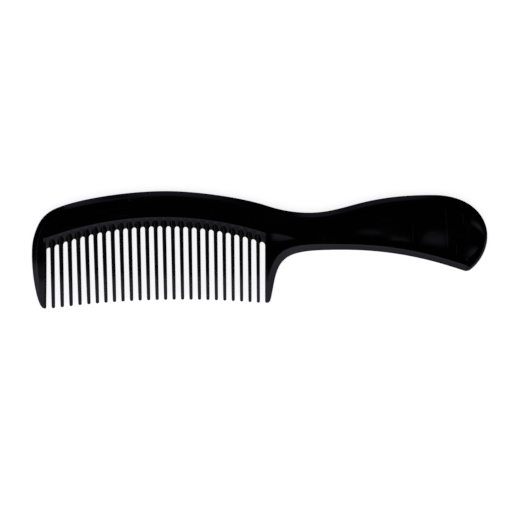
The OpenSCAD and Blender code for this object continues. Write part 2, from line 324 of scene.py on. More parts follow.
def solid(name, sheet):
    """Closes a sheet with its mirror image below the mid-plane and walls along its cuts."""
    count = len(sheet.points)
    twin = {}
    points = list(sheet.points)
    for i in range(count):
        if abs(points[i][2]) < LEVEL:
            twin[i] = i
        else:
            x, y, h, wear = points[i]
            twin[i] = len(points)
            points.append((x, y, -h, wear))
    faces = list(sheet.faces) + [tuple(twin[i] for i in reversed(f)) for f in sheet.faces]
    uses = {}
    for f in sheet.faces:
        for k, a in enumerate(f):
            b = f[(k + 1) % len(f)]
            uses.setdefault(frozenset((a, b)), []).append((a, b))
    for pairs in uses.values():
        if len(pairs) == 1:
            a, b = pairs[0]
            wall = []
            for i in (b, a, twin[a], twin[b]):
                if i not in wall:
                    wall.append(i)
            if len(wall) > 2:
                faces.append(tuple(wall))
    mesh = bpy.data.meshes.new(name)
    mesh.from_pydata([place_inside(*p[:3]) for p in points], [], faces)
    wear = mesh.attributes.new("wear", "FLOAT", "POINT")
    wear.data.foreach_set("value", [p[3] for p in points])
    bm = bmesh.new()
    bm.from_mesh(mesh)
    bmesh.ops.remove_doubles(bm, verts=bm.verts, dist=WELD)
    bmesh.ops.dissolve_degenerate(bm, edges=bm.edges, dist=SLIVER)
    bmesh.ops.recalc_face_normals(bm, faces=bm.faces)
    for face in bm.faces:
        face.smooth = True
    for edge in bm.edges:
        if len(edge.link_faces) != 2 or edge.calc_face_angle() > SHARP_ANGLE:
            edge.smooth = False
    bm.to_mesh(mesh)
    bm.free()
    piece = bpy.data.objects.new("comb_" + name, mesh)
    bpy.context.scene.collection.objects.link(piece)
    piece.data.materials.append(plastic)
    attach(piece, "root")
    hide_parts(name)
    return piece


# ---------------------------------------------------------------------------
# Section of the rim: parting line, wall, bevel and its two rounded edges.
# ---------------------------------------------------------------------------
# Half height of the ridge at the parting line, and how far the wall leans in above it.
PARTING_HALF = 0.06
DRAFT = 0.04
# Size of the rounding between wall and bevel, and of the level strip after the bevel.
CORNER = 0.24
FACE_STRIP = 0.2
# Rounding of the crest between bevel and face: along the underside, at the front shoulder,
# where the spine begins, along the top, at the waist and round the handle's end.
SOFT, SHOULDER_SOFT, RISE_SOFT, TOP_SOFT, WAIST_SOFT, END_SOFT = 0.25, 0.3, 0.6, 1.0, 0.8, 0.2


def bend(a, b, c, steps):
    """Points round the corner b, from a to c, without a itself."""
    out = []
    for k in range(1, steps + 1):
        t = k / steps
        out.append(tuple(
            (1 - t) ** 2 * a[n] + 2 * t * (1 - t) * b[n] + t * t * c[n] for n in (0, 1)))
    return out


def rim_profile(width, soft, half=HALF, edge=EDGE_HALF):
    """Rows of (inset, height, wear) from the parting line up to the face.

    Wear is greatest on the rounding between wall and bevel, and less on the crest.
    """
    corner = (DRAFT, edge)
    crest = (width, half)
    slope = unit((crest[0] - corner[0], crest[1] - corner[1]))
    start = (corner[0] + slope[0] * CORNER, corner[1] + slope[1] * CORNER)
    before = (crest[0] - slope[0] * soft, crest[1] - slope[1] * soft)
    after = (crest[0] + soft, half)
    rows = [(0, 0, 0.0), (0, PARTING_HALF, 0.2), (DRAFT * 0.8, 2 * PARTING_HALF, 0.1)]
    rows += [(DRAFT, edge - CORNER, 0.3)]
    rows += [(x, h, 1.0) for x, h in bend((DRAFT, edge - CORNER), corner, start, 4)]
    rows += [(*mix2(start, before, f), 0.3) for f in (1 / 3, 2 / 3)]
    rows += [(*before, 0.4)]
    rows += [(x, h, 0.7) for x, h in bend(before, crest, after, 5)]
    rows += [(after[0] + FACE_STRIP, half, 0.2)]
    return rows


def rim_column(column, rows):
    """Points of one column of the rim, from its foot and its inset direction."""
    (x, y), (dx, dy) = column[:2]
    return [(x + dx * s, y + dy * s, h, wear) for s, h, wear in rows]


def columns_along(curve, steps, t0=0.0, t1=1.0, w0=BEVEL, w1=BEVEL, soft0=SOFT, soft1=SOFT):
    """Columns of a rim from t0 to t1: foot, inset direction, bevel width and crest rounding."""
    out = []
    for k in range(steps + 1):
        f = k / steps
        t = mix(t0, t1, f)
        out.append([cubic(curve, t), inward(curve, t), mix(w0, w1, f), mix(soft0, soft1, f)])
    return out


def lean_to(columns, target, spread):
    """The first columns turn from the cut towards target to the rim's own direction."""
    foot, normal = columns[0][:2]
    v = unit((target[0] - foot[0], target[1] - foot[1]))
    along = v[0] * normal[0] + v[1] * normal[1]
    cut = (v[0] / along, v[1] / along)
    for k in range(spread):
        columns[k][1] = mix2(cut, columns[k][1], k / spread)


def face_point(x, y, weight=1.0):
    """A point of the face, with its sinks as deep as the weight says."""
    return (x, y, HALF - sink(x, y) * weight, 0.0)


# ---------------------------------------------------------------------------
# Teeth
# ---------------------------------------------------------------------------
def tooth_x(i):
    f = (i - 1) / (TOOTH_COUNT - 1)
    return FIELD_FRONT + (FRONT_MARGIN + i - 1) * PITCH + SPACING_BOW * 4 * f * (1 - f)


def lean(i):
    """Lean of tooth i, as a slope."""
    if i < MOST_LEANING:
        degrees = mix(LEAN_FIRST, LEAN_MOST, (i - 1) / (MOST_LEANING - 1))
    else:
        degrees = mix(LEAN_MOST, LEAN_LAST, (i - MOST_LEANING) / (TOOTH_COUNT - MOST_LEANING))
    return math.tan(math.radians(degrees))


def root_y(i):
    return arc_y(GAP_ARC, tooth_x(i)) - ROOT_DEPTH


def leaning_x(i, y):
    return tooth_x(i) - lean(i) * y


def root_x(i):
    return leaning_x(i, root_y(i))


def tip_y(i):
    return arc_y(TIP_ARC, tooth_x(i))


def gap_left(i):
    """Left side of the gap after tooth i; gap 0 is the one beside the front guard."""
    return FIELD_FRONT if i == 0 else root_x(i) + ROOT_HALF


def gap_right(i):
    return FIELD_REAR if i == TOOTH_COUNT else root_x(i + 1) - ROOT_HALF


def larger(a, b, k):
    """The larger of two heights, with a fillet where they are nearly equal."""
    return max(a, b) + max(0.0, k - abs(a - b)) ** 2 / (4 * k)


def slope_height(x, y):
    """Height of the rail's slope: flat at its upper line, thin at the gaps."""
    d = max(0.0, arc_depth(RAIL_ARC, x, y))
    drop = d * d / (2 * CREASE) if d < CREASE else d - CREASE / 2
    return larger(HALF - drop * RAIL_SLOPE, LIP_HALF, LIP_FILLET)


def crown_drop(u):
    """How far the section of a tooth falls below its flat top at u from its middle."""
    a = abs(u) - FLAT_HALF
    if a <= 0:
        return 0.0
    return FLANK_SLOPE * (a * a / (2 * SHOULDER) if a < SHOULDER else a - SHOULDER / 2)


def ridge_height(i, x, y):
    if not 1 <= i <= TOOTH_COUNT:
        return 0.0
    line = arc_y(RAIL_ARC, tooth_x(i))
    f = (line - y) / (line - root_y(i))
    return mix(RIDGE_START, RIDGE_END, f) - crown_drop(x - leaning_x(i, y))


def tooth_top(i, y):
    """Height of the top of a tooth, which thins towards its tip."""
    if y > THINNING_Y:
        return mix(RIDGE_END, THIN_START, (root_y(i) - y) / (root_y(i) - THINNING_Y))
    f = (THINNING_Y - y) / (THINNING_Y - tip_y(i) - TIP_HALF_WIDTH)
    return mix(THIN_START, TIP_HEIGHT, f ** THINNING_POWER)


def rail_height(i, x, y):
    """Height of the rail near tooth i and tooth i + 1."""
    ridge = max(ridge_height(i, x, y), ridge_height(i + 1, x, y))
    return larger(slope_height(x, y), ridge, RIDGE_FILLET)


# Rounding of the edges round the gaps: rows of (inset, drop), as shares of its radius. On a
# thin edge the drop is limited to a share of the height.
ROUND = 0.16
ROUND_ROWS = [(1 - math.cos(a), 1 - math.sin(a)) for a in (math.pi / 8 * k for k in range(5))]
ROUND_LIMIT = 0.7
# Where the points between a tooth's two rounded edges lie, from -1 to 1.
CROWN = [k / 4 for k in range(-3, 4)]
BODY_STEPS, TIP_STEPS = 18, 7
# Wear of a tooth at its root, added towards its tip, and added on its edges.
TOOTH_WEAR, TIP_WEAR, EDGE_WEAR = 0.15, 0.5, 0.3
TIP_WEAR_ZONE = (-16, -24)


def rounded(height, row):
    """Height of a point in one row of a rounded edge."""
    return height - ROUND_ROWS[row][1] * min(ROUND, ROUND_LIMIT * height)


def tooth_piece(i):
    """Tooth i: sections from its root to its round tip."""
    sheet = Sheet()
    y0, y1 = root_y(i), tip_y(i) + TIP_HALF_WIDTH
    # Each station: y that its section is taken from, y where it stands, and its size.
    stations = []
    for k in range(BODY_STEPS + 1):
        y = mix(y0, y1, k / BODY_STEPS)
        stations.append((y, y, 1.0))
    for k in range(1, TIP_STEPS + 1):
        a = math.pi / 2 * k / TIP_STEPS
        stations.append((y1, y1 - TIP_HALF_WIDTH * math.sin(a), math.cos(a)))
    rows = []
    for section_y, y, size in stations:
        half_width = mix(ROOT_HALF, TIP_HALF_WIDTH, (y0 - section_y) / (y0 - y1))
        top = tooth_top(i, section_y)
        drop_share = min(1.0, top / THIN_START)
        wear = TOOTH_WEAR + TIP_WEAR * smooth(*TIP_WEAR_ZONE, y)
        inner = half_width - ROUND
        row = []
        for k, (inset, _) in enumerate(ROUND_ROWS):
            u = half_width - ROUND * inset
            row.append((u, rounded(top - crown_drop(u) * drop_share, k), wear + EDGE_WEAR))
        core = [(inner * c, top - crown_drop(inner * c) * drop_share, wear) for c in CROWN]
        left = [(-half_width, 0, wear)] + [(-u, h, w) for u, h, w in row]
        right = [(u, h, w) for u, h, w in reversed(row)] + [(half_width, 0, wear)]
        centre_x = leaning_x(i, y)
        rows.append([(centre_x + u * size, y, h * size, w) for u, h, w in left + core + right])
    sheet.grid(rows)
    return solid("tooth_%02d" % i, sheet)


# ---------------------------------------------------------------------------
# Rail: for each gap a rounded band round its edge, then columns up to the rail's line.
# ---------------------------------------------------------------------------
ARCH_STEPS = 20
SIDE_STEPS = 3
# Depths of the fine rows just under the rail's upper line, and count of the steps below.
LINE_ROWS = (0, 0.09, 0.18, 0.28, 0.4, 0.55, 0.75, 1.0)
SLOPE_STEPS = 11
# Wear of the rail: on its slope, on the ridges, at the gap edges and along its upper line.
SLOPE_WEAR, RIDGE_WEAR, GAP_WEAR, LINE_WEAR = 0.1, 0.15, 0.45, 0.8
LINE_WEAR_DEPTH = 0.3


def arch(i):
    """Points of a gap's round top, with the directions away from the gap."""
    x0, x1 = gap_left(i), gap_right(i)
    r, xc = (x1 - x0) / 2, (x0 + x1) / 2
    yc = arc_y(GAP_ARC, xc) - r
    tilt = arc_slope(GAP_ARC, xc)
    out = []
    for k in range(ARCH_STEPS + 1):
        a = math.pi * (1 - k / ARCH_STEPS)
        c, s = math.cos(a), math.sin(a)
        out.append(((xc + r * c, yc + r * s + tilt * r * c), (c, s)))
    return out


def rail_piece():
    """The tooth rail: gap edges first, then the tooth roots, then the slope above them."""
    sheet = Sheet()
    bounds = []
    for i in range(TOOTH_COUNT + 1):
        path = arch(i)
        if i > 0:
            corner, top = (gap_left(i), root_y(i)), path[0][0]
            path = [(mix2(corner, top, k / SIDE_STEPS), (-1, 0)) for k in range(SIDE_STEPS)] + path
        if i < TOOTH_COUNT:
            corner, top = (gap_right(i), root_y(i + 1)), path[-1][0]
            path += [(mix2(top, corner, k / SIDE_STEPS), (1, 0)) for k in range(1, SIDE_STEPS + 1)]
        rows = [[(q[0], q[1], 0, SLOPE_WEAR) for q, _ in path]]
        for k, (inset, _) in enumerate(ROUND_ROWS):
            row = []
            for (x, y), (dx, dy) in path:
                px = min(FIELD_REAR, max(FIELD_FRONT, x + dx * ROUND * inset))
                py = y + dy * ROUND * inset
                row.append((px, py, rounded(rail_height(i, px, py), k), GAP_WEAR))
            rows.append(row)
        sheet.grid(rows)
        bounds.append(rows[-1])
    feet = []
    for i in range(TOOTH_COUNT + 1):
        edge = bounds[i]
        first = SIDE_STEPS if i > 0 else 0
        last = len(edge) - (SIDE_STEPS if i < TOOTH_COUNT else 0)
        feet += [(p, i) for p in edge[first:last]]
        if i < TOOTH_COUNT:
            left, right = edge[last - 1:], bounds[i + 1][:SIDE_STEPS + 1]
            right = list(reversed(right))
            rows = []
            for a, b in zip(left, right):
                row = [a]
                for c in CROWN:
                    px, py = mix2(a, b, (c + 1) / 2)
                    row.append((px, py, rail_height(i, px, py), RIDGE_WEAR))
                rows.append(row + [b])
            sheet.grid(rows)
            feet += [(p, i) for p in rows[0][1:-1]]
    columns = []
    for (x, y, h, wear), i in feet:
        top = arc_y(RAIL_ARC, x)
        column = [(x, top - d, rail_height(i, x, top - d),
                   LINE_WEAR if 0 < d < LINE_WEAR_DEPTH else SLOPE_WEAR) for d in LINE_ROWS]
        start = top - LINE_ROWS[-1]
        for k in range(1, SLOPE_STEPS):
            py = mix(start, y, k / SLOPE_STEPS)
            column.append((x, py, rail_height(i, x, py), SLOPE_WEAR))
        column.append((x, y, h, wear))
        columns.append(column)
    sheet.grid(columns)
    return solid("tooth_rail", sheet)


# ---------------------------------------------------------------------------
# Spine and handle
# ---------------------------------------------------------------------------
def distances(columns):
    """Distance of each column's foot from the first one, along the rim."""
    lengths = [0.0]
    for a, b in zip(columns, columns[1:]):
        lengths.append(lengths[-1] + math.dist(a[0], b[0]))
    return lengths


# Shares of the way from the rim to the rail where the spine's face has its rows.
SPINE_ROWS = (0.04, 0.12, 0.25, 0.42, 0.6, 0.76, 0.88, 0.96, 1.0)
# Number of columns over which the rim turns from a cut to its own direction.
SPINE_SPREAD, HANDLE_SPREAD = 3, 6


def spine_piece():
    """The spine: a rim along its outline, then the face down to the rail's upper line."""
    columns = columns_along(FRONT_SHOULDER, 22, soft0=SHOULDER_SOFT, soft1=RISE_SOFT)
    columns += columns_along(SPINE_FRONT, 44, soft0=RISE_SOFT, soft1=TOP_SOFT)[1:]
    columns += columns_along(SPINE_REAR, 40, soft0=TOP_SOFT, soft1=WAIST_SOFT)[1:]
    lean_to(columns, RAIL_FRONT, SPINE_SPREAD)
    columns.reverse()
    lean_to(columns, RAIL_REAR, SPINE_SPREAD)
    columns.reverse()
    lengths = distances(columns)
    sheet = Sheet()
    rows = []
    for column, length in zip(columns, lengths):
        points = rim_column(column, rim_profile(column[2], column[3]))
        x = mix(FIELD_FRONT, FIELD_REAR, length / lengths[-1])
        target = (x, arc_y(RAIL_ARC, x))
        start = points[-1]
        points += [face_point(*mix2(start, target, f)) for f in SPINE_ROWS]
        rows.append(points)
    sheet.grid(rows)
    return solid("spine", sheet)


def resample(columns, count):
    """The same rim with its columns evenly spaced along it."""
    lengths = distances(columns)
    out, k = [], 0
    for n in range(count + 1):
        want = lengths[-1] * n / count
        while k < len(columns) - 2 and lengths[k + 1] < want:
            k += 1
        f = min(1.0, max(0.0, (want - lengths[k]) / (lengths[k + 1] - lengths[k])))
        a, b = columns[k], columns[k + 1]
        feet, insets = mix2(a[0], b[0], f), mix2(a[1], b[1], f)
        out.append([feet, insets, mix(a[2], b[2], f), mix(a[3], b[3], f)])
    return out


# Columns and face rows of the handle. At its front, row KNEE runs to the rail's end, and the
# rows straighten out over the first BENT_COLUMNS columns.
HANDLE_COLUMNS = 210
HANDLE_ROWS = 46
KNEE = 20
BENT_COLUMNS = 30


def heel_columns():
    """The handle's heel: its bevel widens, and its crest is a straight line."""
    heel = columns_along(HEEL, 12, w0=END_BEVEL, soft0=END_SOFT)
    ends = [(c[0][0] + c[1][0] * c[2], c[0][1] + c[1][1] * c[2]) for c in (heel[0], heel[-1])]
    for k, column in enumerate(heel):
        inner = mix2(ends[0], ends[1], k / (len(heel) - 1))
        foot, width = column[0], column[2]
        column[1] = ((inner[0] - foot[0]) / width, (inner[1] - foot[1]) / width)
    return heel


def front_line(first, last, k):
    """Point k of the handle's first row, from rim to rim by way of the rail's end."""
    if k <= KNEE:
        return mix2(first, RAIL_REAR, k / KNEE)
    return mix2(RAIL_REAR, last, (k - KNEE) / (HANDLE_ROWS - KNEE))


def handle_piece():
    """The handle: sections from its upper rim over the face to its lower rim."""
    top = columns_along(WAIST_TOP, 40, soft0=WAIST_SOFT, soft1=WAIST_SOFT)
    top += columns_along(PALM_TOP, 120, soft0=WAIST_SOFT, soft1=TOP_SOFT)[1:]
    top += columns_along(END_TOP, 100, w1=END_BEVEL, soft0=TOP_SOFT, soft1=END_SOFT)[1:]
    lean_to(top, RAIL_REAR, HANDLE_SPREAD)
    bottom = columns_along(
        END_BOTTOM, 60, w0=END_BEVEL, w1=END_BEVEL, soft0=END_SOFT, soft1=END_SOFT)
    bottom += heel_columns()[1:]
    bottom += columns_along(PALM_BOTTOM, 120)[1:]
    bottom += columns_along(FINGER_HOLLOW, 60, t1=HOLLOW_SPLIT, w1=HOLLOW_BEVEL)[1:]
    bottom.reverse()
    lean_to(bottom, RAIL_REAR, HANDLE_SPREAD)
    top, bottom = resample(top, HANDLE_COLUMNS), resample(bottom, HANDLE_COLUMNS)
    sheet = Sheet()
    rows = []
    upper0 = rim_column(top[0], rim_profile(top[0][2], top[0][3]))[-1]
    lower0 = rim_column(bottom[0], rim_profile(bottom[0][2], bottom[0][3]))[-1]
    for n, (a, b) in enumerate(zip(top, bottom)):
        upper = rim_column(a, rim_profile(a[2], a[3]))
        lower = rim_column(b, rim_profile(b[2], b[3]))
        start, end = upper[-1][:2], lower[-1][:2]
        bent = max(0.0, 1 - n / BENT_COLUMNS) ** 2
        middle = []
        for k in range(1, HANDLE_ROWS):
            f = k / HANDLE_ROWS
            p = mix2(start, end, f)
            if bent > 0:
                straight = mix2(upper0, lower0, f)
                q = front_line(upper0, lower0, k)
                p = (p[0] + (q[0] - straight[0]) * bent, p[1] + (q[1] - straight[1]) * bent)
            length, at_end = math.dist(start, end), smooth(*END_ZONE, p[0])
            above = smooth(0, mix(SINK_FADE, UPPER_END_FADE, at_end), f * length)
            below = smooth(0, mix(SINK_FADE, LOWER_END_FADE, at_end), (1 - f) * length)
            middle.append(face_point(*p, above * below))
        rows.append(upper + middle + list(reversed(lower)))
    sheet.grid(rows)
    return solid("handle", sheet)


# ---------------------------------------------------------------------------
# Guards
# ---------------------------------------------------------------------------
FACE_ROWS, GUARD_TIP_STEPS = 12, 8
# A guard's inner edge: size of its two roundings, and their shares of the flank's drop.
GUARD_LIP = 0.12
UPPER_SHARE, LOWER_SHARE = 0.12, 0.1
# Share of the section that rim and flank may take, and of the edge that stays straight.
GUARD_FIT = 0.94
EDGE_SHARE = 0.8
# A rim crossed at a slant is wider by one over the slant's cosine, taken as this at least.
LEAST_COSINE = 0.5
# Wear of a guard: on its faces, on its flank and on the roundings of its inner edge.
FACE_WEAR, FLANK_WEAR, LIP_WEAR = 0.1, 0.2, 0.6


def guard_row(outer, inner, normal, width, soft, half, edge, flank, drop, size=1.0):
    """One section of a guard, from its outer edge over the face to its inner edge."""
    v = (inner[0] - outer[0], inner[1] - outer[1])
    across = math.hypot(*v)
    v = (v[0] / across, v[1] / across)
    along = max(LEAST_COSINE, v[0] * normal[0] + v[1] * normal[1])
    rim = [(s / along, h, wear) for s, h, wear in rim_profile(width, soft, half, edge)]
    fit = min(1.0, GUARD_FIT * across / (rim[-1][0] + flank + GUARD_LIP))
    lip = GUARD_LIP * fit
    rows = [(s * fit, h, wear) for s, h, wear in rim]
    start, stop = rows[-1][0], across - flank * fit - lip
    rows += [(mix(start, stop, k / FACE_ROWS), half, FACE_WEAR) for k in range(1, FACE_ROWS + 1)]
    crest = (stop + 2 * lip, half - drop * UPPER_SHARE)
    rows += [(s, h, LIP_WEAR) for s, h in bend((stop, half), (stop + lip, half), crest, 3)]
    low = half - drop
    foot = (across - lip, low + drop * LOWER_SHARE)
    rows += [(*mix2(crest, foot, f), FLANK_WEAR) for f in (0.5, 1.0)]
    rows += [(s, h, LIP_WEAR) for s, h in bend(foot, (across, low), (across, low * EDGE_SHARE), 3)]
    rows += [(across, 0, FACE_WEAR)]
    out = []
    for s, h, wear in rows:
        x, y = outer[0] + v[0] * s, outer[1] + v[1] * s
        out.append((x, y, h * size, wear))
    return out


# Points this close to the level of the face belong to it, and take its sinks.
FACE_TOLERANCE = 0.02


def with_sinks(row):
    return [(x, y, h - sink(x, y) if h > HALF - FACE_TOLERANCE else h, w) for x, y, h, w in row]


def tip_rows(tip_curve, half, edge, soft, flank, drop):
    """Sections of a guard's round tip, which shrink to a line as they go."""
    rows = []
    for k in range(1, GUARD_TIP_STEPS + 1):
        a = math.pi / 2 * k / GUARD_TIP_STEPS
        f = TIP_SHARE * math.sin(a)
        outer = cubic(tip_curve, TIP_SPLIT * f)
        inner = cubic(tip_curve, 1 - (1 - TIP_SPLIT) * f)
        normal = unit((inner[0] - outer[0], inner[1] - outer[1])) if k < GUARD_TIP_STEPS else (1, 0)
        rows.append(guard_row(
            outer, inner, normal, BEVEL, soft, half, edge, flank, drop, math.cos(a)))
    return rows


def bend_down(y, start, slope, radius):
    """Fall of a face that turns from level to a slope, below the height start."""
    v = max(0.0, start - y)
    return slope * v * v / (2 * radius) if v < radius else slope * (v - radius / 2)


def guard_half(y, bends):
    """Half thickness of a guard: level at its root, then bent down once and once more."""
    return HALF - sum(bend_down(y, *bend) for bend in bends)


def guard_edge(share, half):
    """Half height of a guard's outer wall, a share of the way from its root to its tip."""
    return min(mix(EDGE_HALF, GUARD_TIP_EDGE, share * share), half - GUARD_EDGE_DROP)


FRONT_STEPS, REAR_STEPS = 40, 48
# The bends of each guard: height where it starts, slope that it adds, and its length.
FRONT_BENDS = ((-3.5, 0.036, 5), (-13.5, 0.066, 4))
REAR_BENDS = ((-6.5, 0.035, 5), (-13, 0.095, 4))
# Half height of the outer wall at the tip, and least depth of the wall below the face.
GUARD_TIP_EDGE = 0.7
GUARD_EDGE_DROP = 0.3
# For each guard: rounding of its crest, width of its inner flank, the flank's drop along
# the guard and at its tip, and the share of the guard over which that drop sets in.
FRONT_SOFT, FRONT_FLANK, FRONT_DROP, FRONT_TIP_DROP, FRONT_SETS_IN = 0.3, 1.1, 0.75, 0.3, 0.12
REAR_SOFT, REAR_FLANK, REAR_DROP, REAR_TIP_DROP, REAR_SETS_IN = 0.25, 0.5, 0.45, 0.2, 0.1
# Over this share of the front guard its sections fan out from the rail's end.
FRONT_FAN = 1 / 6
# Share of the rear guard's sections that lies along the finger hollow.
HOLLOW_SHARE = 0.3


def front_guard_piece():
    """The front guard: its sections run from the outline to the tooth field."""
    rows = []
    for k in range(FRONT_STEPS + 1):
        t = k / FRONT_STEPS
        outer = cubic(FRONT_GUARD_OUTER, t)
        inner = (FIELD_FRONT, mix(RAIL_FRONT[1], outer[1], min(1, t / FRONT_FAN)))
        normal = inward(FRONT_GUARD_OUTER, t)
        normal = (-normal[0], -normal[1])
        half = guard_half(outer[1], FRONT_BENDS)
        edge = guard_edge(t, half)
        drop = FRONT_DROP * smooth(0, FRONT_SETS_IN, t)
        rows.append(guard_row(
            outer, inner, normal, BEVEL, FRONT_SOFT, half, edge, FRONT_FLANK, drop))
    rows += tip_rows(FRONT_GUARD_TIP, half, edge, FRONT_SOFT, FRONT_FLANK, FRONT_TIP_DROP)
    sheet = Sheet()
    sheet.grid(rows)
    return solid("front_guard", sheet)


def rear_guard_piece():
    """The rear guard: first along the finger hollow, then along its own outer edge."""
    rows = []
    for k in range(REAR_STEPS + 1):
        f = k / REAR_STEPS
        if f < HOLLOW_SHARE:
            t = mix(HOLLOW_SPLIT, 1, f / HOLLOW_SHARE)
            outer, normal = cubic(FINGER_HOLLOW, t), inward(FINGER_HOLLOW, t)
        else:
            t = (f - HOLLOW_SHARE) / (1 - HOLLOW_SHARE)
            outer, normal = cubic(REAR_GUARD_OUTER, t), inward(REAR_GUARD_OUTER, t)
        inner = mix2(RAIL_REAR, REAR_GUARD_TIP[-1], f)
        half = guard_half(inner[1], REAR_BENDS)
        edge = guard_edge(f, half)
        width = mix(HOLLOW_BEVEL, BEVEL, f)
        drop = REAR_DROP * smooth(0, REAR_SETS_IN, f)
        rows.append(with_sinks(guard_row(
            outer, inner, normal, width, REAR_SOFT, half, edge, REAR_FLANK, drop)))
    rows += tip_rows(REAR_GUARD_TIP, half, edge, REAR_SOFT, REAR_FLANK, REAR_TIP_DROP)
    sheet = Sheet()
    sheet.grid(rows)
    return solid("rear_guard", sheet)


# ---------------------------------------------------------------------------
# Materials
# ---------------------------------------------------------------------------
def node_tree(owner):
    owner.use_nodes = True
    tree = owner.node_tree
    tree.nodes.clear()
    return tree


def add(tree, kind, **settings):
    node = tree.nodes.new(kind)
    for key, value in settings.items():
        setattr(node, key, value)
    return node


def math_node(tree, operation, a, b=None, clamp=False):
    node = add(tree, "ShaderNodeMath", operation=operation, use_clamp=clamp)
    for socket, value in zip(node.inputs, (a, b)):
        if value is None:
            continue
        if hasattr(value, "is_output"):
            tree.links.new(value, socket)
        else:
            socket.default_value = value
    return node.outputs[0]


def product(tree, *factors):
    """The factors multiplied together, from the left."""
    total = factors[0]
    for factor in factors[1:]:
        total = math_node(tree, "MULTIPLY", total, factor)
    return total


def ramp(tree, source, low, high, out_low=0.0, out_high=1.0):
    """Smooth step of source from out_low at low to out_high at high."""
    node = add(tree, "ShaderNodeMapRange", interpolation_type="SMOOTHSTEP")
    tree.links.new(source, node.inputs["Value"])
    node.inputs["From Min"].default_value = low
    node.inputs["From Max"].default_value = high
    node.inputs["To Min"].default_value = out_low
    node.inputs["To Max"].default_value = out_high
    return node.outputs["Result"]


def noise(tree, coordinates, scale, detail=2.0, roughness=0.5, stretch=None):
    """Noise; stretch holds its scales along X, Y and Z and a turn in degrees."""
    if stretch:
        mapping = add(tree, "ShaderNodeMapping")
        tree.links.new(coordinates, mapping.inputs["Vector"])
        mapping.inputs["Scale"].default_value = stretch[:3]
        mapping.inputs["Rotation"].default_value = (0, 0, math.radians(stretch[3]))
        coordinates = mapping.outputs[0]
    node = add(tree, "ShaderNodeTexNoise")
    node.inputs["Scale"].default_value = scale
    node.inputs["Detail"].default_value = detail
    node.inputs["Roughness"].default_value = roughness
    tree.links.new(coordinates, node.inputs["Vector"])
    return node.outputs["Fac"]


# Each hairline: x where it crosses y = 0, slant, lowest and highest y, in the drawing.
HAIRLINES = ((72.6, 0.01, 2, 13), (89.2, 0.06, 0, 20.5), (96.8, 0.04, 10.5, 18), (93.2, 0.04, -3.5, 4))
# In metres: half width of a hairline's middle and of the whole, and length of its ends.
LINE_CORE, LINE_HALF, LINE_END = 0.00006, 0.00022, 0.002
LINE_STRENGTH = 1.6
# Fine scratches in two directions: stretch of the noise, and where it counts as a scratch.
LONG_SCRATCHES, LONG_RANGE = (60, 1500, 900, 12), (0.66, 0.74)
CROSS_SCRATCHES, CROSS_RANGE = (1300, 90, 900, -7), (0.68, 0.76)
SCRATCH_DETAIL, SCRATCH_ROUGHNESS = 2, 0.6
# Scale and detail of the blotches, the grain and the slow waves of the moulded surface.
BLOTCHES, GRAIN, WAVES = (55, 3), (900, 2), (90, 1)
# Dust: cells in a metre, size of a speck in its cell, and the cells that hold none.
DUST_CELLS = 260
DUST_CORE, DUST_HALF = 0.035, 0.055
DUST_FREE = 0.79
PLASTIC_COLOUR = (0.0007, 0.0006, 0.0014, 1)
WORN_COLOUR = (0.0032, 0.0029, 0.0044, 1)
DUST_COLOUR = (0.10, 0.10, 0.11, 1)
PLASTIC_IOR = 1.5
# Roughness: range over the blotches, and what wear, scratches and dust add to it.
BLOTCH_RANGE = (0.3, 0.75)
SMOOTHEST, ROUGHEST = 0.08, 0.13
WEAR_ROUGH, SCRATCH_ROUGH, DUST_ROUGH = 0.07, 0.12, 0.5
# Relief: share of the grain, depth of a scratch, and strength and height of the bump.
GRAIN_SHARE, SCRATCH_DEPTH = 0.25, 0.25
BUMP_STRENGTH, BUMP_HEIGHT = 0.25, 0.00002


def scratch_mask(tree, place_of):
    """Fine scratches all over, and the long hairlines across the palm of the handle."""
    masks = []
    for stretch, limits in ((LONG_SCRATCHES, LONG_RANGE), (CROSS_SCRATCHES, CROSS_RANGE)):
        fine = noise(tree, place_of, 1.0, SCRATCH_DETAIL, SCRATCH_ROUGHNESS, stretch)
        masks.append(ramp(tree, fine, *limits))
    mask = math_node(tree, "ADD", *masks, clamp=True)
    where = add(tree, "ShaderNodeSeparateXYZ")
    tree.links.new(place_of, where.inputs[0])
    x, y = where.outputs[0], where.outputs[1]
    for crossing, slant, low, high in HAIRLINES:
        x0, y0, _ = place(crossing, low, 0)
        y1 = place(crossing, high, 0)[1]
        off = math_node(tree, "SUBTRACT", math_node(tree, "ADD", x, product(tree, y, slant)), x0)
        off = math_node(tree, "ABSOLUTE", off)
        line = product(
            tree,
            ramp(tree, off, LINE_CORE, LINE_HALF, 1.0, 0.0),
            ramp(tree, y, y0, y0 + LINE_END),
            ramp(tree, y, y1 - LINE_END, y1, 1.0, 0.0),
            LINE_STRENGTH)
        mask = math_node(tree, "MAXIMUM", mask, line)
    return mask


def dust_mask(tree, place_of):
    """Tiny pale specks, few and far apart."""
    specks = add(tree, "ShaderNodeTexVoronoi", feature="F1")
    specks.inputs["Scale"].default_value = DUST_CELLS
    tree.links.new(place_of, specks.inputs["Vector"])
    dot = ramp(tree, specks.outputs["Distance"], DUST_CORE, DUST_HALF, 1.0, 0.0)
    chance = add(tree, "ShaderNodeSeparateColor")
    tree.links.new(specks.outputs["Color"], chance.inputs[0])
    return product(tree, dot, math_node(tree, "GREATER_THAN", chance.outputs[0], DUST_FREE))


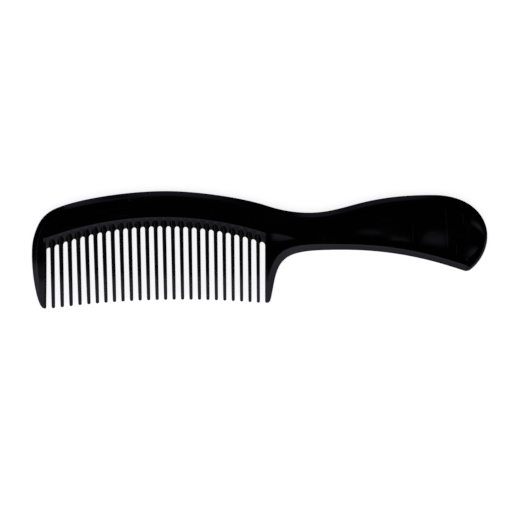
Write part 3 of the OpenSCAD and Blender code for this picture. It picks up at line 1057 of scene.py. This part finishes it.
def plastic_material():
    """Glossy black plastic, a little paler and rougher where it is worn."""
    material = bpy.data.materials.new("black_plastic")
    tree = node_tree(material)
    links = tree.links
    place_of = add(tree, "ShaderNodeTexCoord").outputs["Object"]
    shader = add(tree, "ShaderNodeBsdfPrincipled")
    output = add(tree, "ShaderNodeOutputMaterial")
    links.new(shader.outputs[0], output.inputs["Surface"])
    shader.inputs["IOR"].default_value = PLASTIC_IOR

    wear = add(tree, "ShaderNodeAttribute", attribute_name="wear").outputs["Fac"]
    blotches = noise(tree, place_of, *BLOTCHES)
    scratches = scratch_mask(tree, place_of)
    dust = dust_mask(tree, place_of)

    colour = add(tree, "ShaderNodeMix", data_type="RGBA")
    colour.inputs["A"].default_value = PLASTIC_COLOUR
    colour.inputs["B"].default_value = WORN_COLOUR
    links.new(product(tree, wear, blotches), colour.inputs["Factor"])
    dusty = add(tree, "ShaderNodeMix", data_type="RGBA")
    links.new(dust, dusty.inputs["Factor"])
    links.new(colour.outputs["Result"], dusty.inputs["A"])
    dusty.inputs["B"].default_value = DUST_COLOUR
    links.new(dusty.outputs["Result"], shader.inputs["Base Color"])

    rough = ramp(tree, blotches, *BLOTCH_RANGE, SMOOTHEST, ROUGHEST)
    for mask, amount in ((wear, WEAR_ROUGH), (scratches, SCRATCH_ROUGH), (dust, DUST_ROUGH)):
        rough = math_node(tree, "ADD", rough, product(tree, mask, amount), clamp=mask is dust)
    links.new(rough, shader.inputs["Roughness"])

    grain, waves = noise(tree, place_of, *GRAIN), noise(tree, place_of, *WAVES)
    height = math_node(tree, "ADD", product(tree, grain, GRAIN_SHARE), waves)
    height = math_node(tree, "SUBTRACT", height, product(tree, scratches, SCRATCH_DEPTH))
    bump = add(tree, "ShaderNodeBump")
    bump.inputs["Strength"].default_value = BUMP_STRENGTH
    bump.inputs["Distance"].default_value = BUMP_HEIGHT
    links.new(height, bump.inputs["Height"])
    links.new(bump.outputs[0], shader.inputs["Normal"])
    return material


FLOOR_COLOUR = (0.9, 0.9, 0.9, 1)
FLOOR_GLOW = 0.86
WHITE = (1, 1, 1, 1)


def floor_material():
    """A pale floor: mostly its own glow, with a soft shadow in what the studio adds."""
    material = bpy.data.materials.new("pale_floor")
    tree = node_tree(material)
    output = add(tree, "ShaderNodeOutputMaterial")
    diffuse = add(tree, "ShaderNodeBsdfDiffuse")
    diffuse.inputs["Color"].default_value = FLOOR_COLOUR
    glow = add(tree, "ShaderNodeEmission")
    glow.inputs["Color"].default_value = WHITE
    glow.inputs["Strength"].default_value = FLOOR_GLOW
    total = add(tree, "ShaderNodeAddShader")
    tree.links.new(diffuse.outputs[0], total.inputs[0])
    tree.links.new(glow.outputs[0], total.inputs[1])
    tree.links.new(total.outputs[0], output.inputs["Surface"])
    return material


# ---------------------------------------------------------------------------
# Studio: a dark ceiling, a wide soft light in front, two narrow bluish ones behind, and a
# faint strip on each side. A light's place is given by its turn, in degrees from +X seen
# from above, by facing, the cosine of the angle from that turn, and by across, the sine of
# the angle from straight up. Each range is where the light starts and where it is full.
# ---------------------------------------------------------------------------
FRONT, LEFT, RIGHT = -90, 180, 0
WINDOW, PANE = 92.3, 110.3
# Front light: its side edges; its upper edge, which curves up at its sides from CURVE_START
# on; its lower edge, as Z; and its strength high up and low down.
FRONT_EDGE = (0.05, 0.12)
CURVE_START, CURVE = 0.35, 0.5
FRONT_RISE = (0.02, 0.2)
FRONT_FLOOR = (-0.6, -0.25)
FRONT_FALL, HIGH_STRENGTH, LOW_STRENGTH = (0.7, 0.9), 0.56, 0.29
# Factors on it by facing: weaker towards the left, strong at its far left end, and weaker
# towards the right.
LEFT_FADE = (0.0, 0.25, 1.05, 0.74)
LEFT_GLEAM = (0.9, 0.98, 1.0, 2.1)
RIGHT_FADE = (0.3, 0.95, 1.0, 0.8)
# The two lights behind: facing, across and strength.
WINDOW_EDGE, WINDOW_RISE, WINDOW_STRENGTH = (0.984, 0.9935), (0.35, 0.75), 0.18
PANE_EDGE, PANE_RISE, PANE_STRENGTH = (0.995, 0.999), (0.25, 0.5), 0.24
# The strips on the sides: facing, where they start and stop across, and strengths.
STRIP_EDGE, STRIP_START, STRIP_STOP = (0.92, 0.985), (0.22, 0.36), (0.6, 0.78)
LEFT_STRENGTH, RIGHT_STRENGTH = 0.2, 0.14
FRONT_TINT = (0.98, 0.93, 1.15, 1)
BACK_TINT = (0.82, 0.93, 1.35, 1)
# Keeps the division by across defined straight up.
LEAST_ACROSS = 0.001


def front_light(tree, towards, across, y, z):
    """The wide light in front of the comb."""
    curve = math_node(tree, "MAXIMUM", math_node(tree, "SUBTRACT", across, CURVE_START), 0.0)
    reach = math_node(tree, "SUBTRACT", product(tree, curve, CURVE), y)
    return product(
        tree,
        ramp(tree, towards(FRONT), *FRONT_EDGE),
        ramp(tree, reach, *FRONT_RISE),
        ramp(tree, across, *FRONT_FALL, HIGH_STRENGTH, LOW_STRENGTH),
        ramp(tree, towards(LEFT), *LEFT_FADE),
        ramp(tree, towards(LEFT), *LEFT_GLEAM),
        ramp(tree, towards(RIGHT), *RIGHT_FADE),
        ramp(tree, z, *FRONT_FLOOR))


def back_lights(tree, towards, across):
    """The two narrow lights behind the comb."""
    window = product(tree, ramp(tree, towards(WINDOW), *WINDOW_EDGE),
                     ramp(tree, across, *WINDOW_RISE, 0.0, WINDOW_STRENGTH))
    pane = product(tree, ramp(tree, towards(PANE), *PANE_EDGE),
                   ramp(tree, across, *PANE_RISE, 0.0, PANE_STRENGTH))
    return math_node(tree, "MAXIMUM", window, pane)


def side_strips(tree, towards, across):
    """The faint strips to the left and right of the comb."""
    left = ramp(tree, towards(LEFT), *STRIP_EDGE, 0.0, LEFT_STRENGTH)
    right = ramp(tree, towards(RIGHT), *STRIP_EDGE, 0.0, RIGHT_STRENGTH)
    return product(tree, ramp(tree, across, *STRIP_START),
                   ramp(tree, across, *STRIP_STOP, 1.0, 0.0), math_node(tree, "ADD", left, right))


def studio_world():
    """The lights as the comb reflects them. The camera itself sees plain white."""
    world = bpy.data.worlds.new("studio")
    bpy.context.scene.world = world
    tree = node_tree(world)
    links = tree.links
    output = add(tree, "ShaderNodeOutputWorld")
    direction = add(tree, "ShaderNodeTexCoord").outputs["Generated"]
    split = add(tree, "ShaderNodeSeparateXYZ")
    links.new(direction, split.inputs[0])
    x, y, z = split.outputs
    squares = math_node(tree, "ADD", product(tree, x, x), product(tree, y, y))
    across = math_node(tree, "MAXIMUM", math_node(tree, "SQRT", squares), LEAST_ACROSS)

    def towards(turn):
        """Facing of a direction: the cosine of its angle from the turn, seen from above."""
        a = math.radians(turn)
        dot = math_node(tree, "ADD", product(tree, x, math.cos(a)), product(tree, y, math.sin(a)))
        return math_node(tree, "DIVIDE", dot, across)

    def tinted(colour, strength):
        node = add(tree, "ShaderNodeBackground")
        node.inputs["Color"].default_value = colour
        links.new(strength, node.inputs["Strength"])
        return node.outputs[0]

    front = math_node(tree, "MAXIMUM", front_light(tree, towards, across, y, z),
                      side_strips(tree, towards, across))
    lit = add(tree, "ShaderNodeAddShader")
    links.new(tinted(FRONT_TINT, front), lit.inputs[0])
    links.new(tinted(BACK_TINT, back_lights(tree, towards, across)), lit.inputs[1])
    seen = add(tree, "ShaderNodeBackground")
    seen.inputs["Color"].default_value = WHITE
    choose = add(tree, "ShaderNodeMixShader")
    path = add(tree, "ShaderNodeLightPath")
    links.new(path.outputs["Is Camera Ray"], choose.inputs[0])
    links.new(lit.outputs[0], choose.inputs[1])
    links.new(seen.outputs[0], choose.inputs[2])
    links.new(choose.outputs[0], output.inputs["Surface"])


# In metres: half the width of the floor, and the gap between it and the comb.
FLOOR_SIZE = 3.0
FLOOR_GAP = 0.00005


def floor():
    mesh = bpy.data.meshes.new("floor")
    z = cad_low.z - FLOOR_GAP
    corners = [(i * FLOOR_SIZE, j * FLOOR_SIZE, z) for i, j in ((-1, -1), (1, -1), (1, 1), (-1, 1))]
    mesh.from_pydata(corners, [], [(0, 1, 2, 3)])
    ground = bpy.data.objects.new("floor", mesh)
    bpy.context.scene.collection.objects.link(ground)
    mesh.materials.append(floor_material())
    ground.visible_glossy = False


plastic = plastic_material()
studio_world()
floor()
bpy.context.scene.view_settings.view_transform = "Standard"

spine_piece()
handle_piece()
front_guard_piece()
rear_guard_piece()
rail_piece()
for number in range(1, TOOTH_COUNT + 1):
    tooth_piece(number)
